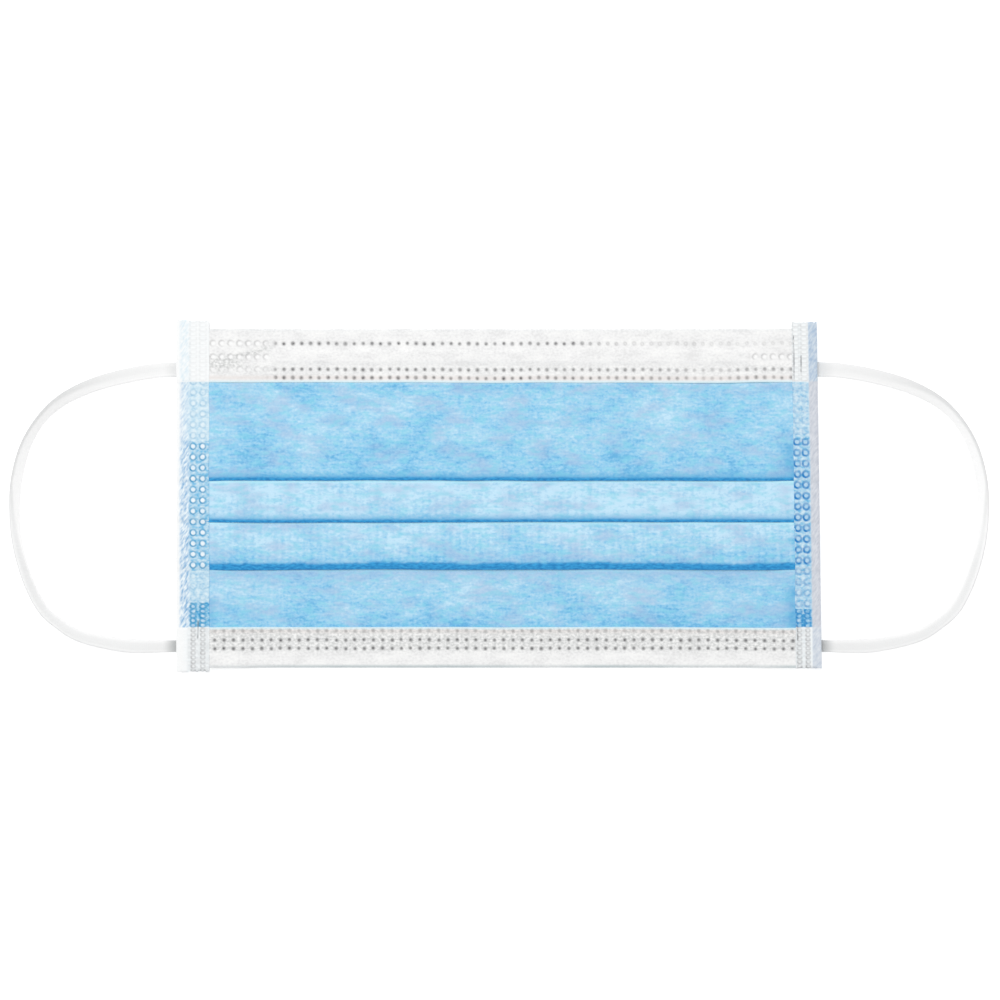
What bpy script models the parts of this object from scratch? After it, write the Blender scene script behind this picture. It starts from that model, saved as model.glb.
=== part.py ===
"""Disposable pleated face mask with two elastic ear loops, lying flat on its back, outer side up.

Metres, +Z up. +Y points to the nose edge and +X to the right-hand ear loop, seen from above.
The origin is on the surface that the mask lies on, under the middle of the mask.
"""

import math

import bmesh
import bpy

# Overall sizes of the body, measured over the two side bindings
BODY_WIDTH = 0.1756
BODY_HEIGHT = 0.0956
RIGHT_LEAN = 0.0014  # how much further in the right-hand edge stands at the nose edge
NOSE_INSET = 0.0024  # the bindings run this far past the nose edge of the cloth
CHIN_INSET = 0.0013  # and this far past its chin edge

# Cloth thicknesses, and the air left between two layers that lie on each other
WEB = 0.0010  # the plies of the filter cloth, welded into one web
HEM = 0.0010
TAPE = 0.0010
ELASTIC = 0.0010
GAP = 0.0003

# Hems: the inner ply turned over the nose edge and the chin edge
NOSE_HEM_WIDTH = 0.0144
CHIN_HEM_WIDTH = 0.0109
CHANNEL_WIDTH = 0.0052  # the nose-wire channel, a low ridge along the nose hem
CHANNEL_HEIGHT = 0.0007
CHANNEL_CENTRE = 0.0075  # from the nose edge to the ridge's middle
CHANNEL_LENGTH = 0.1310
CHANNEL_OFFSET = 0.0035  # the channel's middle lies this far to the right
CHANNEL_FADE = 0.0040

# Pleats: each row is one pleat, its fold line as a share of the cloth's height from the nose edge
PLEAT_DEPTH = 0.0084  # from the visible fold line to the hidden one above it
PLEATS = [
    {"line": 0.444},
    {"line": 0.568},
    {"line": 0.704},
]
APPROACH = 0.0150  # the upper panel climbs onto the first pleat over this length

# Side bindings: tape folded over the welded side flanges
LEFT_BINDING = 0.0090
RIGHT_BINDING = 0.0070
WELD_RAMP = 0.0070  # the pleats are pressed down to the flange over this length

# Ear loops: a flat elastic band on each side, its ends welded under the binding
BAND_WIDTH = 0.0040
LOOP_REACH = 0.0440  # from the body's edge to the middle of the band, where it is furthest out
UPPER_EXIT = 0.0342  # where the band leaves the body, above and below the middle
LOWER_EXIT = 0.0409
BAND_END = 0.0080  # the length of band that lies under the binding
BAND_STEP = 0.0026

# The route of a loop: out as a share of the reach, down as a share of the way from the upper
# exit to the lower one, and turn, how far the band is turned up from lying flat, in degrees.
LOOP_ROUTE = [
    {"out": 0.000, "down": 0.000, "turn": 0},
    {"out": 0.148, "down": 0.006, "turn": 4},
    {"out": 0.341, "down": 0.028, "turn": 12},
    {"out": 0.541, "down": 0.065, "turn": 28},
    {"out": 0.716, "down": 0.111, "turn": 46},
    {"out": 0.843, "down": 0.185, "turn": 60},
    {"out": 0.936, "down": 0.282, "turn": 46},
    {"out": 0.989, "down": 0.402, "turn": 46},
    {"out": 1.000, "down": 0.522, "turn": 48},
    {"out": 0.980, "down": 0.635, "turn": 50},
    {"out": 0.920, "down": 0.757, "turn": 49},
    {"out": 0.830, "down": 0.860, "turn": 45},
    {"out": 0.716, "down": 0.921, "turn": 41},
    {"out": 0.580, "down": 0.965, "turn": 36},
    {"out": 0.341, "down": 0.995, "turn": 24},
    {"out": 0.152, "down": 1.000, "turn": 8},
    {"out": 0.000, "down": 1.000, "turn": 0},
]

# Sampling of the curved parts
FOLD_STEPS = 6
RAMP_STEPS = 6
EASE_STEPS = 5

# Sizes that follow from the ones above
HALF_WIDTH = BODY_WIDTH / 2
NOSE_EDGE = BODY_HEIGHT / 2 - NOSE_INSET
CHIN_EDGE = CHIN_INSET - BODY_HEIGHT / 2
CLOTH_HEIGHT = NOSE_EDGE - CHIN_EDGE
LEVEL = WEB + GAP  # from one folded layer to the next
BEND = (LEVEL + WEB) / 2  # a fold's outer radius
BASE = WEB / 2  # height of the middle of the web where it lies on the surface
FLANGE_LIFT = ELASTIC + GAP + TAPE + GAP  # the flange lies on the tape, and the tape on the band
TAPE_BEND = (TAPE + WEB) / 2 + GAP  # radius of the tape's fold round the flange, at mid-tape
TAPE_FOLD = HALF_WIDTH - TAPE / 2 - TAPE_BEND  # where along X the tape's fold begins
WEB_NOSE_EDGE = NOSE_EDGE - HEM - GAP
WEB_CHIN_EDGE = CHIN_EDGE + HEM + GAP
FOLD_CENTRES = [NOSE_EDGE - row["line"] * CLOTH_HEIGHT + BEND for row in PLEATS]
HIDDEN_CENTRES = [centre + PLEAT_DEPTH - 2 * BEND for centre in FOLD_CENTRES]


def clear_scene():
    for item in list(bpy.data.objects):
        bpy.data.objects.remove(item)


def new_collection(name):
    collection = bpy.data.collections.new(name)
    bpy.context.scene.collection.children.link(collection)
    return collection


def make_material(name, colour, roughness):
    material = bpy.data.materials.new(name)
    material.use_nodes = True
    shader = material.node_tree.nodes["Principled BSDF"]
    shader.inputs["Base Color"].default_value = (*colour, 1.0)
    shader.inputs["Roughness"].default_value = roughness
    shader.inputs["Metallic"].default_value = 0.0
    return material


def ease(share):
    """A share from 0 to 1, held to that range and eased at both ends."""
    share = min(max(share, 0.0), 1.0)
    return share * share * (3 - 2 * share)


def lean(x, y):
    """The right-hand half is drawn in towards the nose edge, most at the edge itself."""
    share = max(x / HALF_WIDTH, 0.0) * (y / BODY_HEIGHT + 0.5)
    return x - RIGHT_LEAN * share


def finish_object(name, mesh, material, collection):
    mesh.materials.append(material)
    mesh.shade_smooth()
    mesh.set_sharp_from_angle(angle=math.radians(35))
    item = bpy.data.objects.new(name, mesh)
    collection.objects.link(item)
    return item


def cloth_sheet(name, rows, thickness, material, collection):
    """An open surface through rows of points, given its thickness by Solidify."""
    shape = bmesh.new()
    grid = [[shape.verts.new(point) for point in row] for row in rows]
    for near, far in zip(grid, grid[1:]):
        for k in range(len(near) - 1):
            shape.faces.new((near[k], near[k + 1], far[k + 1], far[k]))
    mesh = bpy.data.meshes.new(name)
    shape.to_mesh(mesh)
    shape.free()
    item = finish_object(name, mesh, material, collection)
    wall = item.modifiers.new("thickness", "SOLIDIFY")
    wall.thickness = thickness
    wall.offset = 0.0
    wall.use_even_offset = True
    return item


def side_span(side):
    """For the left (-1) or right (+1) side: where the weld ramp starts and ends, and the
    flange's end. All are distances from the middle."""
    binding = LEFT_BINDING if side < 0 else RIGHT_BINDING
    ramp_end = HALF_WIDTH - binding - 2 * GAP
    return ramp_end - WELD_RAMP, ramp_end, TAPE_FOLD


def pressed(x):
    """How far the cloth at x is pressed into the flange: 0 in the middle, 1 in the flange."""
    ramp_start, ramp_end, _ = side_span(math.copysign(1, x))
    return ease((abs(x) - ramp_start) / (ramp_end - ramp_start))


def strip_height(index, y):
    """Height of the middle of a strip of web at y. Strip 0 is the upper panel and strip 3 the
    lower one. A strip leaves the hidden fold above it on the surface, climbs to clear the next
    hidden fold, and from there lies on the pleat's other two layers."""
    if index == len(PLEATS):
        return BASE
    next_hidden = HIDDEN_CENTRES[index]
    if y < next_hidden:
        return strip_height(index + 1, y) + 2 * LEVEL
    if index == 0:
        return BASE + 2 * LEVEL * ease((next_hidden + APPROACH - y) / APPROACH)
    start = HIDDEN_CENTRES[index - 1]
    return BASE + 2 * LEVEL * (start - y) / (start - next_hidden)


def bend_points(y, high, low, way):
    """A half circle from the upper layer to the lower one, bulging towards way along Y."""
    centre = (high + low) / 2
    radius = (high - low) / 2
    points = []
    for k in range(1, FOLD_STEPS):
        angle = math.pi * k / FOLD_STEPS
        points.append((y + way * radius * math.sin(angle), centre + radius * math.cos(angle)))
    return points


def web_line():
    """The web's middle line from the nose edge to the chin edge, as (y, z), and for each pleat
    the indices where its two pockets open: one between the outer faces, one between the inner."""
    line = [(WEB_NOSE_EDGE, strip_height(0, WEB_NOSE_EDGE))]
    for k in range(EASE_STEPS):
        y = HIDDEN_CENTRES[0] + APPROACH * (1 - k / EASE_STEPS)
        line.append((y, strip_height(0, y)))
    pockets = []
    for i, (fold, hidden) in enumerate(zip(FOLD_CENTRES, HIDDEN_CENTRES)):
        line.append((hidden, strip_height(i, hidden)))
        inner_mouth = len(line) - 1
        top = strip_height(i, fold)
        line.append((fold, top))
        line += bend_points(fold, top, top - LEVEL, -1)
        line.append((fold, top - LEVEL))
        outer_start = len(line) - 1
        middle = strip_height(i, hidden) - LEVEL
        line.append((hidden, middle))
        inner_end = len(line) - 1
        line += bend_points(hidden, middle, middle - LEVEL, 1)
        line.append((hidden, middle - LEVEL))
        line.append((fold, strip_height(i + 1, fold)))
        pockets.append({"inner": (inner_mouth, inner_end), "outer": (outer_start, len(line) - 1)})
    line.append((WEB_CHIN_EDGE, BASE))
    return line, pockets


def offset_line(line, distance):
    """The line moved sideways by distance, to the outer side where distance is positive."""
    moved = []
    for k, (y, z) in enumerate(line):
        before = line[max(k - 1, 0)]
        after = line[min(k + 1, len(line) - 1)]
        run = after[0] - before[0]
        rise = after[1] - before[1]
        length = math.hypot(run, rise)
        moved.append((y + distance * rise / length, z - distance * run / length))
    return moved


def pressed_line(points, height):
    """Where a face's points lie in the flange: all at one height, and never turning back."""
    flat = []
    last = math.inf
    for y, _ in points:
        last = min(y, last - GAP / 10)
        flat.append((last, height))
    return flat


def blend(points, targets, share):
    return [
        (y + (ty - y) * share, z + (tz - z) * share)
        for (y, z), (ty, tz) in zip(points, targets)
    ]


def keep_outside(count, ranges):
    """The indices below count that lie inside none of the ranges, ends kept."""
    return [k for k in range(count) if not any(low < k < high for low, high in ranges)]


def build_panel(material, collection):
    """The pleated web. Its section, with open pockets in the pleats, runs straight across the
    middle. At each side the pockets are welded shut and the stack is pressed into a flange."""
    line, pockets = web_line()
    outer = offset_line(line, WEB / 2)
    inner = offset_line(line, -WEB / 2)
    count = len(line)
    outer_kept = keep_outside(count, [pocket["outer"] for pocket in pockets])
    inner_kept = keep_outside(count, [pocket["inner"] for pocket in pockets])
    stack = [outer[k] for k in outer_kept], [inner[k] for k in inner_kept]
    flange = pressed_line(stack[0], FLANGE_LIFT + WEB), pressed_line(stack[1], FLANGE_LIFT)

    shape = bmesh.new()

    def ring(x, section):
        return [shape.verts.new((lean(x, y), y, z)) for y, z in section]

    def join(first, second):
        for k, vertex in enumerate(first):
            after = (k + 1) % len(first)
            shape.faces.new((vertex, first[after], second[after], second[k]))

    ends = {}
    for side in (-1, 1):
        ramp_start = side_span(side)[0]
        ends[side] = ring(side * ramp_start, outer + inner[::-1])
    join(ends[-1], ends[1])

    for side in (-1, 1):
        ramp_start, ramp_end, flange_end = side_span(side)
        loop = ends[side]
        for pocket in pockets:
            low, high = pocket["outer"]
            shape.faces.new(loop[low:high + 1])
            low, high = pocket["inner"]
            shape.faces.new([loop[2 * count - 1 - k] for k in range(low, high + 1)])
        last = [loop[k] for k in outer_kept]
        last += [loop[2 * count - 1 - k] for k in reversed(inner_kept)]
        stations = [ramp_start + WELD_RAMP * k / RAMP_STEPS for k in range(1, RAMP_STEPS)]
        stations += [ramp_end, flange_end]
        for x in stations:
            share = pressed(side * x)
            upper = blend(stack[0], flange[0], share)
            lower = blend(stack[1], flange[1], share)
            current = ring(side * x, upper + lower[::-1])
            join(last, current)
            last = current
        shape.faces.new(last)

    bmesh.ops.recalc_face_normals(shape, faces=shape.faces)
    mesh = bpy.data.meshes.new("pleated_panel")
    shape.to_mesh(mesh)
    shape.free()
    return finish_object("pleated_panel", mesh, material, collection)


def hem_stations():
    """Places along X where a hem's section changes, from left to right."""
    channel = CHANNEL_LENGTH / 2
    marks = []
    for side in (-1, 1):
        ramp_start, ramp_end, _ = side_span(side)
        marks += [side * (ramp_start + WELD_RAMP * k / RAMP_STEPS) for k in range(RAMP_STEPS)]
        marks += [side * ramp_end, side * (ramp_end + GAP)]
        for share in (0.0, 0.5, 1.0):
            marks.append(CHANNEL_OFFSET + side * (channel - CHANNEL_FADE * share))
    return sorted(marks)


def channel_height(x, across):
    """The nose-wire ridge: a low arch across the hem that fades out at its two ends."""
    along = ease((CHANNEL_LENGTH / 2 - abs(x - CHANNEL_OFFSET)) / CHANNEL_FADE)
    share = 1 - abs(across - CHANNEL_CENTRE) / (CHANNEL_WIDTH / 2)
    return CHANNEL_HEIGHT * along * ease(share * 1.6)


def build_hem(name, edge, width, ridge, material, collection):
    """A hem: from its free edge flat over the panel to the cloth's edge, then down round it.
    ridge says whether the nose-wire channel runs along it."""
    way = math.copysign(1, edge)
    height = WEB + GAP + HEM / 2
    turn = height / 2
    flat = [width]
    if ridge:
        flat += [CHANNEL_CENTRE + CHANNEL_WIDTH / 2 * share for share in (1, 0.6, 0.2, -0.2, -0.6, -1)]
    flat.append(HEM / 2 + turn)
    rows = []
    for x in hem_stations():
        lift = FLANGE_LIFT * pressed(x)
        row = []
        for across in flat:
            rise = channel_height(x, across) if ridge else 0.0
            row.append((across, height + rise))
        for k in range(1, FOLD_STEPS):
            angle = math.pi / 2 * k / (FOLD_STEPS - 1)
            out = HEM / 2 + turn * (1 - math.sin(angle))
            row.append((out, height - turn * (1 - math.cos(angle))))
        row.append((HEM / 2, 0.0))
        points = [(edge - way * across, z + lift) for across, z in row]
        rows.append([(lean(x, y), y, z) for y, z in points])
    return cloth_sheet(name, rows, HEM, material, collection)


def build_binding(name, side, material, collection):
    """A side binding: tape folded into a channel round the welded flange."""
    binding = LEFT_BINDING if side < 0 else RIGHT_BINDING
    middle = FLANGE_LIFT + WEB / 2
    section = [(HALF_WIDTH - binding, middle + TAPE_BEND)]
    for k in range(2 * FOLD_STEPS + 1):
        angle = math.pi * k / (2 * FOLD_STEPS)
        out = TAPE_BEND * math.sin(angle)
        section.append((TAPE_FOLD + out, middle + TAPE_BEND * math.cos(angle)))
    section.append((HALF_WIDTH - binding, middle - TAPE_BEND))
    rows = []
    for y in (-BODY_HEIGHT / 2, BODY_HEIGHT / 2):
        rows.append([(lean(side * x, y), y, z) for x, z in section])
    return cloth_sheet(name, rows, TAPE, material, collection)


def smooth_route(points, step):
    """A curve through the points, each stretch a cubic whose ends follow its neighbours, cut
    into pieces of about one step."""
    path = []
    for k in range(len(points) - 1):
        before = points[max(k - 1, 0)]
        start = points[k]
        end = points[k + 1]
        after = points[min(k + 2, len(points) - 1)]
        cuts = max(1, round(math.dist(start[:2], end[:2]) / step))
        for cut in range(cuts):
            t = cut / cuts
            weights = (
                (-t + 2 * t**2 - t**3) / 2,
                (2 - 5 * t**2 + 3 * t**3) / 2,
                (t + 4 * t**2 - 3 * t**3) / 2,
                (-(t**2) + t**3) / 2,
            )
            path.append(
                tuple(
                    sum(w * p[axis] for w, p in zip(weights, (before, start, end, after)))
                    for axis in range(3)
                )
            )
    path.append(points[-1])
    return path


def build_loop(name, side, material, collection):
    """An ear loop: a flat band along its route, resting on its lower edge where it is turned."""
    route = [(-BAND_END, UPPER_EXIT, 0.0)]
    for row in LOOP_ROUTE:
        y = UPPER_EXIT - row["down"] * (UPPER_EXIT + LOWER_EXIT)
        route.append((row["out"] * LOOP_REACH, y, math.radians(row["turn"])))
    route.append((-BAND_END, -LOWER_EXIT, 0.0))
    path = smooth_route(route, BAND_STEP)
    rows = []
    for k, (out, y, turn) in enumerate(path):
        before = path[max(k - 1, 0)]
        after = path[min(k + 1, len(path) - 1)]
        run = (after[0] - before[0], after[1] - before[1])
        length = math.hypot(*run)
        outward = (-run[1] / length, run[0] / length)
        height = (BAND_WIDTH * abs(math.sin(turn)) + ELASTIC * math.cos(turn)) / 2 + GAP / 10
        row = []
        for half in (-BAND_WIDTH / 2, BAND_WIDTH / 2):
            flat = half * math.cos(turn)
            x = side * (HALF_WIDTH + out + outward[0] * flat)
            row.append((x, y + outward[1] * flat, height + half * math.sin(turn)))
        rows.append(row)
    return cloth_sheet(name, rows, ELASTIC, material, collection)


def build_mask():
    clear_scene()
    mask = new_collection("face_mask")
    web = make_material("blue spunbond cloth", (0.38, 0.65, 0.86), 0.85)
    white = make_material("white spunbond cloth", (0.90, 0.90, 0.90), 0.85)
    tape = make_material("pale blue binding tape", (0.72, 0.85, 0.93), 0.80)
    elastic = make_material("white elastic", (0.88, 0.88, 0.88), 0.75)

    build_panel(web, mask)
    build_hem("nose_hem", NOSE_EDGE, NOSE_HEM_WIDTH, True, white, mask)
    build_hem("chin_hem", CHIN_EDGE, CHIN_HEM_WIDTH, False, white, mask)
    for side, word in ((-1, "left"), (1, "right")):
        build_binding(f"side_binding_{word}", side, tape, mask)
        build_loop(f"ear_loop_{word}", side, elastic, mask)


build_mask()
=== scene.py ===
"""Looks of a disposable pleated face mask that lies flat on a pale floor, seen from straight above.

Every cloth piece is a surface worked out with numpy. Lengths are in metres, in the frame of the
solids that the pieces replace: +Y to the nose edge, +Z up.
"""

import math

import bmesh
import bpy
import numpy as np
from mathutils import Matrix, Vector


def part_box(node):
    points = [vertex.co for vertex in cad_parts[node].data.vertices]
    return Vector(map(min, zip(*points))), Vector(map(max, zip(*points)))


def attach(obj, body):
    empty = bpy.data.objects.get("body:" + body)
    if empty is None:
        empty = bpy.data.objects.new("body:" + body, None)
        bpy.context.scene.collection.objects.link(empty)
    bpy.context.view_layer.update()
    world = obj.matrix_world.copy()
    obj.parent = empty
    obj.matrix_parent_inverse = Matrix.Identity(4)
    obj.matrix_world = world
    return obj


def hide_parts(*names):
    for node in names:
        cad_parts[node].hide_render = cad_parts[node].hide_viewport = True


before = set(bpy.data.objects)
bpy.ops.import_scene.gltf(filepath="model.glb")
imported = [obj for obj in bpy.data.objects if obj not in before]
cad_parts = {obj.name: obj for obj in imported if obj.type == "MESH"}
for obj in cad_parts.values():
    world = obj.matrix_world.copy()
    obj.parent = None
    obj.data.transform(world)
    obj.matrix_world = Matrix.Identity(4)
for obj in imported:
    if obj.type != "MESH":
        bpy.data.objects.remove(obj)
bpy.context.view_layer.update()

MM = 0.001

# Places read from the frame
NOSE_LOW, NOSE_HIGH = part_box("nose_hem")
CHIN_LOW, CHIN_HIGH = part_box("chin_hem")
LEFT_LOW, LEFT_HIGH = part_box("side_binding_left")
RIGHT_LOW, RIGHT_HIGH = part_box("side_binding_right")
HALF_WIDTH = RIGHT_HIGH[0]
BODY_HEIGHT = LEFT_HIGH[1] - LEFT_LOW[1]
NOSE_EDGE = NOSE_HIGH[1]
CHIN_EDGE = CHIN_LOW[1]
NOSE_HEM = NOSE_HIGH[1] - NOSE_LOW[1]
CHIN_HEM = CHIN_HIGH[1] - CHIN_LOW[1]
LEFT_TAPE = LEFT_HIGH[0] - LEFT_LOW[0]
RIGHT_TAPE = 7.0 * MM
RIGHT_LEAN = 1.4 * MM
# How far inside the side's edge the web and the hems end
WEB_INSET = 1.8 * MM
HEM_INSET = 2.4 * MM

# The cloth: thin plies, an outer one and an inner one, on the two sides of the filter
PLY = 0.20 * MM
PLY_OFFSET = 0.13 * MM
FLAP_RISE = 0.35 * MM
EDGE_SETBACK = 1.0 * MM
BASE = 0.35 * MM

# Pleats, from the nose edge down. line: the fold's edge as a share of the cloth's height.
# nose: how far above its edge a fold starts to curve down. seam: width of the deep blue line
# along the edge, partly the doubled cloth and partly painted shade in the fold's crevice, and
# ragged: how uneven the seam's upper side is. rim: how much paler the next strip is painted in a
# thin line under the edge, painted light for light that comes through the thin fold. The last
# key: how much deeper the next strip is painted right at the edge, painted shade under the fold.
PLEAT_DEPTH = 8.4 * MM
LEVEL = 0.52 * MM
APPROACH = 15.0 * MM
UNDER_TURN = 0.5 * MM
# Above each fold line, over this distance, the cloth is painted darker: painted shade where the
# fold turns away from the light
ROLL_SHADE = 3.6 * MM
PLEATS = [
    {"line": 0.4470, "nose": 2.2 * MM, "seam": 0.72 * MM, "ragged": 0.08, "rim": 1.0, "shade_under_edge": 0.1},
    {"line": 0.5695, "nose": 2.2 * MM, "seam": 0.70 * MM, "ragged": 0.08, "rim": 1.0, "shade_under_edge": 0.3},
    {"line": 0.7100, "nose": 2.8 * MM, "seam": 1.62 * MM, "ragged": 0.14, "rim": 0.6, "shade_under_edge": 0.9},
]

# How deep the blue is down each strip, from 0, palest, to 1, as pairs of a share of the strip
# and a depth there
DEPTHS = [
    [(0.00, 0.70), (0.12, 0.57), (0.55, 0.58), (0.75, 0.74), (1.00, 0.78)],
    [(0.00, 0.10), (0.60, 0.15), (1.00, 0.25)],
    [(0.00, 0.25), (0.45, 0.34), (0.75, 0.58), (1.00, 0.78)],
    [(0.00, 0.66), (0.30, 0.57), (0.70, 0.60), (1.00, 0.90)],
]

# Damp-looking patches of deeper blue beside the bindings: side, ends along Y, reach and strength
STAINS = [
    (1, 15.0 * MM, 4.6 * MM, 4.5 * MM, 1.0),
    (1, -10.5 * MM, -13.5 * MM, 2.5 * MM, 0.6),
    (1, -24.0 * MM, -36.0 * MM, 4.2 * MM, 0.95),
    (-1, -27.5 * MM, -36.0 * MM, 2.6 * MM, 0.7),
]
CLOTH_HEIGHT = NOSE_EDGE - CHIN_EDGE
LINES = [NOSE_EDGE - row["line"] * CLOTH_HEIGHT for row in PLEATS]
HIDDEN = [line + PLEAT_DEPTH - LEVEL / 2 for line in LINES]

# Sides: the cloth rises onto the ear loops' ends and is pressed thin where it is welded
SIDE_LIFT = 1.9 * MM
LIFT_SPAN = 19.0 * MM
PRESS_SPAN = 8.0 * MM
PRESSED = 0.45

# The grids of the hems and of the bindings, fine enough for their weld marks
HEM_STEP = 0.26 * MM
TAPE_STEP_ALONG = 0.19 * MM
TAPE_STEP_ACROSS = 0.155 * MM

# Weld dots of the hems: rows are measured from the cloth's edge. Towards the ends of the nose
# hem the dots are shallow open rings, with one more row of them.
NOSE_ROWS = (3.9 * MM, 11.0 * MM, 13.25 * MM)
NOSE_END_ROW = 7.6 * MM
NOSE_PITCH = 2.396 * MM
NOSE_PHASE = -60.95 * MM
CHIN_ROWS = (5.1 * MM, 7.4 * MM, 9.85 * MM)
CHIN_PITCH = 2.536 * MM
CHIN_PHASE = -77.3 * MM
NOSE_DOT = 0.66 * MM
CHIN_DOT = 0.64 * MM
DOT_PIT = 0.14 * MM
OPEN_RING = 0.80 * MM
RING_LINE = 0.24 * MM
RING_PIT = 0.06 * MM
RINGS_LEFT = -62.0 * MM
RINGS_RIGHT = 69.0 * MM
WORN_RIGHT = 52.0 * MM
# From the first of these to the second, the dots of the top row open into faint rings
TOP_ROW_OPENS = (16.0 * MM, 40.0 * MM)
# How strongly the two lower rows of the nose hem show along X
LOWER_ROWS_SHOW = [
    (-60.0 * MM, 1.0), (5.0 * MM, 0.95), (30.0 * MM, 0.8), (48.0 * MM, 0.75),
    (54.0 * MM, 0.45), (63.0 * MM, 0.45), (67.0 * MM, 0.75), (84.0 * MM, 0.7),
]

# The nose-wire channel, a low ridge between the two upper rows of dots
CHANNEL_CENTRE = 7.5 * MM
CHANNEL_WIDTH = 5.2 * MM
CHANNEL_HEIGHT = 0.45 * MM

# Weld marks of the bindings, in two columns: open rings, square links, thick hoops, the rungs of a
# ladder where the pleats stack, and flat boxes and round cells over the hems. In millimetres: the
# marks' distance along Y, their radius and the width of their line. Then their height as a share
# of their width, how square they are, from 2, round, and how strongly their middles show.
MARKS = {
    "ring": (2.93, 0.82, 0.24, 1.0, 2, 1.0),
    "link": (2.93, 0.78, 0.30, 1.0, 3, 0.8),
    "hoop": (2.93, 0.80, 0.34, 1.0, 2, 1.0),
    "rung": (1.28, 0.58, 0.22, 0.74, 2.4, 0.55),
    "box": (1.22, 0.42, 0.14, 0.48, 5, 0.6),
    "cell": (1.22, 0.42, 0.18, 0.78, 3, 0.5),
}
# Distance of each column from the side's outer edge, and where one ring lies along Y
COLUMNS = {"left": (4.7 * MM, 7.3 * MM), "right": (3.7 * MM, 6.0 * MM)}
PHASE = {"left": 13.5 * MM, "right": 14.7 * MM}

# What a binding shows down its length, by stretches: the lower end of the stretch along Y, its
# marks, how much blue comes through the tape there, and how strongly the marks show
STRETCHES = {
    "left": [
        (31.0 * MM, "box", 0.02, 0.16),
        (14.97 * MM, "ring", 0.38, 0.35),
        (-20.2 * MM, "ring", 0.61, 1.00),
        (-28.98 * MM, "ring", 0.48, 0.22),
        (-35.6 * MM, "rung", 0.80, 0.95),
        (-60.0 * MM, "cell", 0.04, 0.60),
    ],
    "right": [
        (31.0 * MM, "box", 0.04, 0.36),
        (16.17 * MM, "link", 0.50, 0.28),
        (7.38 * MM, "link", 0.60, 1.00),
        (-18.9 * MM, "hoop", 0.60, 1.12),
        (-30.7 * MM, "hoop", 0.56, 0.55),
        (-35.6 * MM, "rung", 0.84, 0.90),
        (-60.0 * MM, "cell", 0.05, 0.60),
    ],
}

# Creases pressed into the bindings, drawn grey as painted shade in the creases: distance from the
# side's outer edge, ends along Y, width
CREASES = {
    "left": [(6.0 * MM, -34.0 * MM, -38.8 * MM, 0.26 * MM)],
    "right": [
        (6.6 * MM, -35.4 * MM, -39.2 * MM, 0.26 * MM),
        (6.5 * MM, 43.5 * MM, 31.6 * MM, 0.16 * MM),
        (4.6 * MM, 38.2 * MM, 33.6 * MM, 0.16 * MM),
    ],
}

# Looks of the two tapes: colours of a mark's line and middle where blue is covered, the outer
# strip's two colours, over the panel and the chin hem and then over the nose hem, and the slant
# of its crinkles
TAPE_LOOKS = {
    "left": {
        "line": "#3A93C2", "fill": "#F6FBFE", "slant": 2.09,
        "strip": [(0.34, "#F0F9FD"), (0.72, "#84B4DC")],
        "cool strip": [(0.30, "#FBFDFD"), (0.75, "#D3E8F3")],
    },
    "right": {
        "line": "#207FC4", "fill": "#B4D6EE", "slant": 1.05,
        "strip": [(0.30, "#DDE0E7"), (0.75, "#C3C9D4")],
        "cool strip": [(0.30, "#D6E1EB"), (0.75, "#A6BDD6")],
    },
}
# How deep the marks, the inner rim and the creases are pressed into a binding
MARK_PIT = 0.12 * MM
FILL_PIT = 0.04 * MM
RIM_PIT = 0.10 * MM
CREASE_PIT = 0.15 * MM

# A binding's way round the edge takes this much tape, and the right one's ends lie this far
# inside the solid's
RIGHT_CHIN_GAP = 1.0 * MM
RIGHT_NOSE_GAP = 0.5 * MM
TAPE_OVER_CLOTH = 0.24 * MM
TAPE_BACK_DROP = 0.4 * MM

# Ear loops
BAND_WIDTH = 4.0 * MM
BAND_THICKNESS = 0.65 * MM
BAND_END = 8.0 * MM
BAND_CORNER = 0.55
BAND_RIBS = 14
RIB_HEIGHT = 0.10
LOOP_REACH = 44.0 * MM
UPPER_EXIT = 34.5 * MM
LOWER_EXIT = 40.9 * MM

# The route of a loop, as in the solids: out as a share of the reach, down as a share of the way
# between the exits, and the turn on edge, in degrees, a little more for this thinner band
LOOP_ROUTE = [
    (0.000, 0.000, 0), (0.148, 0.006, 4), (0.341, 0.027, 12), (0.541, 0.062, 28),
    (0.716, 0.115, 45), (0.843, 0.186, 57), (0.936, 0.282, 53), (0.989, 0.402, 50),
    (1.000, 0.522, 57), (0.980, 0.635, 58), (0.920, 0.757, 55), (0.830, 0.860, 51),
    (0.716, 0.921, 46), (0.580, 0.965, 38), (0.341, 0.995, 24), (0.152, 1.000, 8),
    (0.000, 1.000, 0),
]

# A stripe of painted shade along the band: a share of the band's length, the stripe's place
# across it, from -1, the loop's inner edge, to 1, the outer one, its width and its strength
SHADE_STRIPE = [
    (0.00, 0.0, 1.0, 0.20), (0.18, 0.4, 0.9, 0.28), (0.27, 0.8, 0.5, 0.55),
    (0.36, 0.9, 0.35, 0.60), (0.45, 0.9, 0.3, 0.50), (0.53, 0.3, 0.6, 0.32),
    (0.60, 0.0, 0.9, 0.50), (0.75, 0.2, 1.1, 0.50), (1.00, 0.1, 1.0, 0.40),
]
# The band is gathered to this share of its width over the last part of its lower end
GATHERED = 0.80
GATHERED_SPAN = 12.0 * MM

# The photograph's frame: its width on the mask's plane, and the point at its middle
VIEW_WIDTH = 271.74 * MM
VIEW_CENTRE = (0.27 * MM, -1.09 * MM)
VIEW_PLANE = 2.6 * MM
LENS = 100.0
SENSOR = 36.0

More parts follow.
